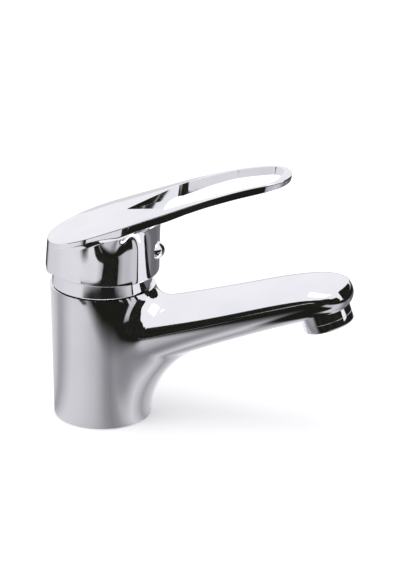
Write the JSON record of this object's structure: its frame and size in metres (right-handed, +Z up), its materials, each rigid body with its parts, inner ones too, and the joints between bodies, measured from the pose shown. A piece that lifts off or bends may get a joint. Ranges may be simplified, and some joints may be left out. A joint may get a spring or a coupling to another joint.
{
  "type": "bathroom mixer faucet",
  "caption": "Deck-mounted basin mixer: round body, rising rounded spout with a tilted aerator, and a single cap lever that widens into an open finger loop.",
  "frame": {"origin": "centre of the base on the deck", "axes": "+X along the spout, +Z up the body"},
  "size_m": [0.16, 0.0568, 0.1402],
  "materials": {
    "chrome_plate": "polished chrome plate over brass and zinc castings",
    "seal_rubber": "black moulded seal rubber",
    "cartridge_plastic": "off-white moulded plastic, satin",
    "grey_plastic": "grey moulded plastic, satin",
    "orange_plastic": "orange moulded plastic, satin",
    "red_plastic": "red moulded plastic, satin",
    "ceramic": "ground white alumina ceramic, smooth",
    "raw_brass": "turned brass, unplated",
    "stainless": "plain stainless steel"
  },
  "bodies": {
    "body": {"body_casting": "chrome_plate", "base_gasket": "seal_rubber", "cartridge_housing": "cartridge_plastic", "cartridge_base": "cartridge_plastic", "lower_seals": "seal_rubber", "upper_seals": "seal_rubber", "fixed_disc": "ceramic", "nut_washer": "cartridge_plastic", "cartridge_nut": "raw_brass", "bonnet_seal": "seal_rubber", "bonnet_ring": "chrome_plate", "aerator_housing": "chrome_plate", "aerator_washer": "seal_rubber", "aerator_insert": "cartridge_plastic", "aerator_screen": "stainless"},
    "turret": {"cartridge_turret": "grey_plastic", "limit_ring": "red_plastic", "stem_pin": "stainless"},
    "lever": {"handle": "chrome_plate", "stem": "raw_brass", "grub_screw": "stainless", "index_button": "chrome_plate"},
    "carrier": {"disc_carrier": "orange_plastic", "moving_disc": "ceramic"}
  },
  "joints": [
    {"name": "temperature", "type": "hinge", "parent": "body", "child": "turret", "pos_m": [0, 0, 0.073], "axis": [0, 0, 1], "range_deg": [-45, 45]},
    {"name": "lift", "type": "hinge", "parent": "turret", "child": "lever", "pos_m": [0, 0, 0.073], "axis": [0, -1, 0], "range_deg": [0, 25]},
    {"name": "disc_slide", "type": "slide", "parent": "turret", "child": "carrier", "axis": [1, 0, 0], "range_m": [0, 0.0035]}
  ],
  "couplings": [
    {"joint": "disc_slide", "follows": "lift", "m_per_rad": 0.00793}
  ]
}
